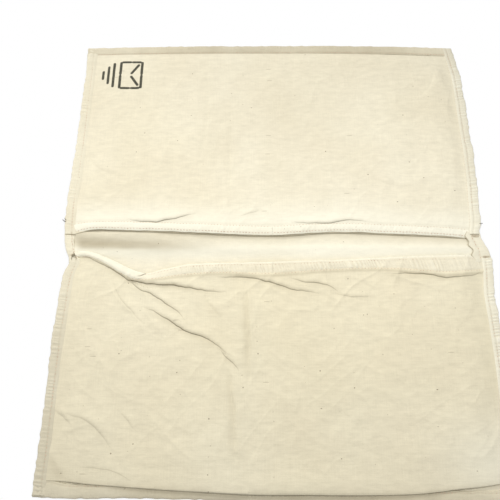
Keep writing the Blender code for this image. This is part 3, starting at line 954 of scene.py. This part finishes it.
def mouthHem(half, material):
    # the turned hem on the front's lip, in two pieces that meet on the middle line. On the lower
    # pocket's left its lip is rolled into a tube
    away = halves[half]
    along = np.linspace(-sackWidth / 2 + 5.4, sackWidth / 2 - 5.4, 541)
    x, q = np.meshgrid(along, acrossBand(21), indexing="ij")
    lip, inner = smoothLine(x, lips[half]), smoothLine(x, hemLines[half])
    seed, thick = pick(half, 81, 91), hemSettings["thick"]
    y = lip + (inner - lip + away * hemLap) * (q + 1) / 2
    y = y + away * 0.2 * lineNoise(x, 5.0, seed + 5) * np.clip(-q, 0, 1)
    z, marks, shift = frontSurface(half, x, y)
    tube = ease(-x, 84, 96) if half == "lower" else 0 * x
    z = z - 0.36 * thick - 0.42 * ease(q, 0.35, 1.0) + 0.5 * tube * (1 - q**2)
    if half == "upper":
        z = z - 0.25 * ease(-q, 0.2, 1.0)
    body = np.sqrt(np.clip(1 - np.abs(q) ** 2.6, 0, 1))
    crest = hemSettings["strength"][half] * puckers(x - 1.5 * q, seed, hemSettings["pitch"], 0.5)
    crest = crest * bell(q, 0.85) * (1 - tube) * ease(x, -88, -55)
    rows = (bell(q - 0.66, 0.09) + 0.4 * bell(q + 0.62, 0.10)) * (1 - tube)
    swell = np.clip(0.5 * thick * body * (1 + 0.32 * crest), 0, None)
    middle = np.stack([widen(x, y) + shift[..., 0], y + shift[..., 1], z + 0.12 * crest - 0.14 * rows], -1)
    # painted shade in the stitch rows, the pucker hollows and along the inner edge, most under the rolled
    # tube
    marks["crease"] = 0.15 * rows + 0.13 * ease(-crest, 0.1, 0.7) + ease(q, 0.86, 1.0) * (0.12 + 0.4 * tube)
    marks["line"] = marks["line"] * (np.abs(q) < 0.999)
    marks["wearAndShade"] = 0.10 + 0 * x
    # painted light over the hem, with painted highlights on the tube, the lower lip's edge and the pucker
    # crests
    paintedBrightness = hemSettings["pale"][half] * (1 - 0.25 * bell(x, 50))
    lipHighlight = 0.45 * ease(-q, 0.7, 1.0) * (half == "lower")
    marks["pale"] = paintedBrightness + 0.3 * tube + lipHighlight + 0.2 * ease(crest, 0.2, 0.9)
    flat = np.stack([x, y], -1)
    middleRow = len(along) // 2
    made = {}
    for side, part in (("left", slice(0, middleRow + 1)), ("right", slice(middleRow, None))):
        keep = {mark: values[part] for mark, values in marks.items()}
        name = f"{half}_mouth_hem_{side}"
        made[side] = putBand(name, middle[part], swell[part], flat[part], material, keep)
    return made


def saddleEdge(side, y, q):
    # where the saddle's side hem lies; on the right its inner edge is loose and wavy
    sign = sides[side]
    width = 6.4 + 0 * y
    if side == "right":
        width = 11.2 - 0.14 * (y + 6) + 0.8 * np.sin(y * 0.9) * ease(q, 0, 1) + 0.5 * bell(y + 1.5, 1.2)
    x = sign * (edgeAt(y, side) + 0.25 * lineNoise(y, 2.4, 101) - (q + 1) / 2 * width)
    return x, 1.0 + 0.25 * bell(y + 9, 3) + (0.45 * ease(q, 0.2, 1) if side == "right" else 0)


def saddleHem(side, half, material):
    # the turned side edge across the saddle, cut at the saddle's middle
    low, high = pick(half, (saddleMiddle, 4.6), (-17.0, saddleMiddle))
    y, q = np.meshgrid(np.linspace(low, high, 36), acrossBand(), indexing="ij")
    x, z = saddleEdge(side, y, q)
    # a painted shadow line along the loose inner edge of the right hem
    shade = 0.5 * ease(q, 0.8, 1.0) * (side == "right")
    return bandMesh(f"saddle_{side}_hem_{half}", x, y, z, f"{side}Saddle", material, 103, y, q, shade)


def follow(piece):
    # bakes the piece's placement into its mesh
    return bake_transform(piece)


def bendAtFold(piece):
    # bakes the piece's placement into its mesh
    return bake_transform(piece)


def place(piece, slot, *nodes):
    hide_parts(*nodes)
    return piece


pieces = {}
for half, cloth in (("upper", cream), ("lower", lowerCream)):
    pieces[half, "front"] = frontCloth(half, cloth)
    pieces[half, "hem"] = mouthHem(half, turned)
    pieces[half, "seam"] = {side: sideSeam(half, side, turned) for side in sides}
    pieces[half, "end"] = endSeam(half, turned)
pieces["back"] = backCloth(cream)
print("cloths and bands made")


# Stitches, tacks and loose threads

def rowOnFront(half, xs, ys, lift=0.0):
    z, _, shift = frontSurface(half, xs, ys)
    return np.stack([widen(xs, ys) + shift[:, 0], ys + shift[:, 1], z + lift], -1)


def flipped(route):
    # the same row as it shows on the underside
    under = route.copy()
    under[:, 2] = undersideRow
    return under[::-1]


seamRows = {"left": ("left",), "right": ("right_outer", "right_inner")}
stitches = {}
for half in halves:
    away = halves[half]
    seed = pick(half, 200, 300)
    ys = np.linspace(*pick(half, (4.0, 153.0), (-151.0, -17.0)), 220)
    for side, sign in sides.items():
        for k, q in enumerate(bandSettings[f"{side}Seam"]["rows"]):
            xs = sign * (edgeAt(ys, side) - (q + 1) / 2 * seamWidth)
            top = np.stack([xs, ys, 0.74 + 0.46 * np.sqrt(1 - np.abs(q) ** roundness + 0 * ys) * 1.35], -1)
            name = seamRows[side][k]
            routes = [top, flipped(top)]
            stitches[half, name] = putStitches(f"{half}_{name}_stitch_row", routes, paleThread, seed)
            seed += 1
    xs = np.linspace(-134, 136, 300)
    ys = smoothLine(xs, closedEdges[half]) - away * 6.4
    top = np.stack([xs, ys, np.full(len(xs), 1.2)], -1)
    routes = [top, flipped(top)]
    stitches[half, "end"] = putStitches(f"{half}_end_stitch_row", routes, paleThread, seed + 1)
    for row, share in (("lip", 0.2), ("inner", 0.83)):
        for side, span in (("left", (-132, -0.5)), ("right", (0.5, 132))):
            xs = np.linspace(*span, 200)
            lip, inner = smoothLine(xs, lips[half]), smoothLine(xs, hemLines[half])
            route = rowOnFront(half, xs, lip + (inner - lip + away * hemLap) * share, -0.12)
            name = f"{half}_hem_{row}_stitches_{side}"
            stitches[half, row, side] = putStitches(name, [route], paleThread, seed + 5)
            seed += 1
for side in sides:
    for half, span in (("upper", (saddleMiddle + 0.3, 3.0)), ("lower", (-15.0, saddleMiddle - 0.3))):
        ys = np.linspace(*span, 30)
        q = bandSettings[f"{side}Saddle"]["rows"][0]
        xs, z = saddleEdge(side, ys, 0 * ys + q)
        route = np.stack([xs, ys, z + 0.42], -1)
        name = f"saddle_{side}_stitches_{half}"
        stitches["saddle", side, half] = putStitches(name, [route], paleThread, seed)
        seed += 1


def wander(start, direction, length, seed, curl=0.5):
    # a short loose thread: it starts straight and drifts off, lying down towards its end
    rng = np.random.default_rng(seed)
    turns = np.cumsum(rng.normal(0, curl / 3, 12)) + direction
    step = length / 12
    x = start[0] + np.concatenate([[0], np.cumsum(np.cos(turns) * step)])
    y = start[1] + np.concatenate([[0], np.cumsum(np.sin(turns) * step)])
    z = np.clip(start[2] + 0.25 * np.sin(np.linspace(0, 3, 13)) - np.linspace(0, 0.5, 13), 0.25, None)
    return np.stack([x, y, z], -1)


tackSettings = {"threads": 5, "spacing": 0.34, "length": 5.2, "radius": 0.17}


def tack(half, side):
    # threads laid close side by side over the mouth's corner, with frayed ends
    sign = sides[side]
    corner = pick(half, {"left": 3.4, "right": 1.2}, {"left": -11.6, "right": -13.4})[side]
    rng = np.random.default_rng(len(half + side) + (7 if side == "left" else 0))
    outer = edgeAt(corner, side) - 1.4
    inward = np.linspace(0, tackSettings["length"], 9)
    hump = 1.35 + 0.35 * np.sin(np.linspace(0, math.pi, 9))
    routes = []
    for k in range(tackSettings["threads"]):
        slant = rng.uniform(-0.25, 0.25)
        y = corner + (k - 2) * tackSettings["spacing"] + slant * np.linspace(-1, 1, 9)
        routes.append(np.stack([sign * (outer - inward), y, hump + 0.1 * (k % 2)], -1))
    radii = [tackSettings["radius"]] * len(routes)
    frays = 9 if (half, side) == ("lower", "left") else 2
    for k in range(frays):
        root = (sign * (outer - rng.uniform(0, 7)), corner + rng.uniform(-1.6, 1.6), 1.6)
        routes.append(wander(root, rng.uniform(0, 6.28), rng.uniform(1.6, 3.4), k + 11, 1.6))
        radii.append(0.11)
    return putThread(f"{half}_{side}_tack_threads", routes, radii, tackThread)


tacks = {(half, side): tack(half, side) for half in halves for side in sides}
looseEnds = {
    "left": [wander((-139.6, 12.0, 1.2), 2.9, 3.4, 3), wander((-139.4, 12.8, 1.2), 2.4, 2.6, 4)],
    "right": [wander((139.2, 10.6, 1.2), 0.25, 3.6, 5), wander((139.4, 9.8, 1.2), -0.5, 2.4, 6)],
}
looseThreads = {
    side: putThread(f"loose_thread_{side}", routes, [0.32, 0.24], darkThread)
    for side, routes in looseEnds.items()
}
fray = []
for k in range(10):
    start = (-131.5 + 1.1 * math.sin(2.4 * k), -12.6 + 1.0 * math.cos(1.7 * k), 1.9)
    fray.append(wander(start, 0.9 * k, 2.2 + 0.12 * k, 40 + k, 1.8))
looseThreads["frayed"] = putThread("frayed_corner_threads", fray, [0.17] * 10, brownThread)
saddleHems = {(side, half): saddleHem(side, half, turned) for side in sides for half in halves}
print("stitches, tacks and loose threads made")


# The pieces sewn on each half hang from that half's body; every piece hides the frame nodes it stands for

for half in halves:
    body = f"{half}_back"
    sewnOn = [pieces[half, "end"]]
    for side in sides:
        front = place(pieces[half, "front"][side], "cream_cotton", f"{half}_front_cloth")
        hem = place(pieces[half, "hem"][side], "turned_cotton", f"{half}_mouth_hem")
        rows = [stitches[half, row, side] for row in ("lip", "inner")]
        for row, piece in zip(("lip", "inner"), rows):
            place(piece, "cotton_thread", f"{half}_hem_{row}_stitches")
        for piece in (front, hem, *rows):
            follow(piece)
        seam = place(pieces[half, "seam"][side], "turned_cotton", f"{half}_{side}_seam")
        bar = place(tacks[half, side], "cotton_thread", f"{half}_{side}_tack")
        for name in seamRows[side]:
            sewnOn.append(place(stitches[half, name], "cotton_thread", f"{half}_{name}_stitches"))
        sewnOn += [seam, bar]
    tail = place(pieces[half, "front"]["end"], "cream_cotton", f"{half}_front_cloth")
    sewnOn.append(tail)
    place(pieces[half, "end"], "turned_cotton", f"{half}_end_seam")
    sewnOn.append(place(stitches[half, "end"], "cotton_thread", f"{half}_end_stitches"))
    for name in pick(half, sides, ("frayed",)):
        sewnOn.append(looseThreads[name])
    for piece in sewnOn:
        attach(piece, body)
    back = bendAtFold(place(pieces["back"][half], "cream_cotton", f"{half}_back_cloth", "saddle_strip"))
    for side in sides:
        hem = place(saddleHems[side, half], "turned_cotton", f"saddle_{side}_hem")
        row = place(stitches["saddle", side, half], "cotton_thread", f"saddle_{side}_stitches")
        bendAtFold(hem)
        bendAtFold(row)


# Floor, light and camera

def makeFloor():
    mesh = bpy.data.meshes.new("floor")
    corners = [(-3, -3), (3, -3), (3, 3), (-3, 3)]
    mesh.from_pydata([(x, y, -0.0002) for x, y in corners], [], [(0, 1, 2, 3)])
    material, tree, shader = newMaterial("paleFloor")
    shader.inputs["Base Color"].default_value = (0.9, 0.9, 0.9, 1)
    shader.inputs["Roughness"].default_value = 0.9
    # clear to the camera, with a faint shade beside the sack on the side away from the light; and clear to
    # what comes from below or from very near, so that an underside and a hung half are lit
    path = addNode(tree, "ShaderNodeLightPath").outputs
    under = addNode(tree, "ShaderNodeNewGeometry").outputs["Backfacing"]
    nearby = calc(tree, "LESS_THAN", path["Ray Length"], 0.002)
    share = calc(tree, "MAXIMUM", calc(tree, "MAXIMUM", path["Is Camera Ray"], under), nearby)
    lean = (0.0, 0.75, 0.66)
    shade = addNode(tree, "ShaderNodeAmbientOcclusion", {"samples": 8}, Distance=0.004, Normal=lean)
    tone = remap(tree, shade.outputs["AO"], 0.25, 0.8, 0.5, 1.0)
    untouched = calc(tree, "MAXIMUM", under, calc(tree, "SUBTRACT", 1.0, path["Is Camera Ray"]))
    tone = calc(tree, "MAXIMUM", tone, untouched)
    tint = addNode(tree, "ShaderNodeCombineColor", {}, i0=tone, i1=tone, i2=tone).outputs[0]
    clear = addNode(tree, "ShaderNodeBsdfTransparent", {}, Color=tint)
    both = addNode(tree, "ShaderNodeMixShader", {}, i0=share, i1=shader.outputs[0], i2=clear.outputs[0])
    tree.links.new(both.outputs[0], tree.nodes["Material Output"].inputs["Surface"])
    mesh.materials.append(material)
    addObject("floor", mesh)


def addLight(name, spot, target, size, power, colour):
    data = bpy.data.lights.new(name, "AREA")
    data.shape, data.energy, data.color = "RECTANGLE", power, colour
    data.size, data.size_y = size
    light = addObject(name, data)
    light.location = spot
    x, y, z = np.array(target, float) - np.array(spot, float)
    light.rotation_euler = (math.atan2(math.hypot(x, y), -z), 0, math.atan2(x, -y) + math.pi)


makeFloor()
world = bpy.data.worlds.new("studio")
bpy.context.scene.world = world
world.use_nodes = True
sky = world.node_tree
seen = addNode(sky, "ShaderNodeLightPath").outputs["Is Camera Ray"]
sky.nodes["Background"].inputs["Color"].default_value = (1.0, 1.0, 1.0, 1.0)
sky.links.new(remap(sky, seen, 0.0, 1.0, 0.42, 1.0), sky.nodes["Background"].inputs["Strength"])
addLight("key", (-0.45, 0.80, 0.52), (0, 0, 0), (0.3, 0.3), 5.2, (1.0, 0.99, 0.965))
addLight("overhead", (0.0, -0.005, 0.29), (0, -0.005, 0), (0.66, 0.1), 0.74, (1.0, 0.995, 0.98))

camera = addObject("camera", bpy.data.cameras.new("camera"))
camera.data.lens = 36.07
camera.data.sensor_width = 36.0
camera.location = (-0.015, -0.1157, 0.3163)
camera.rotation_euler = (math.radians(18.8), 0, 0)
camera.data.clip_start = 0.01
bpy.context.scene.camera = camera
bpy.context.scene.view_settings.view_transform = "Standard"
print("stage set")
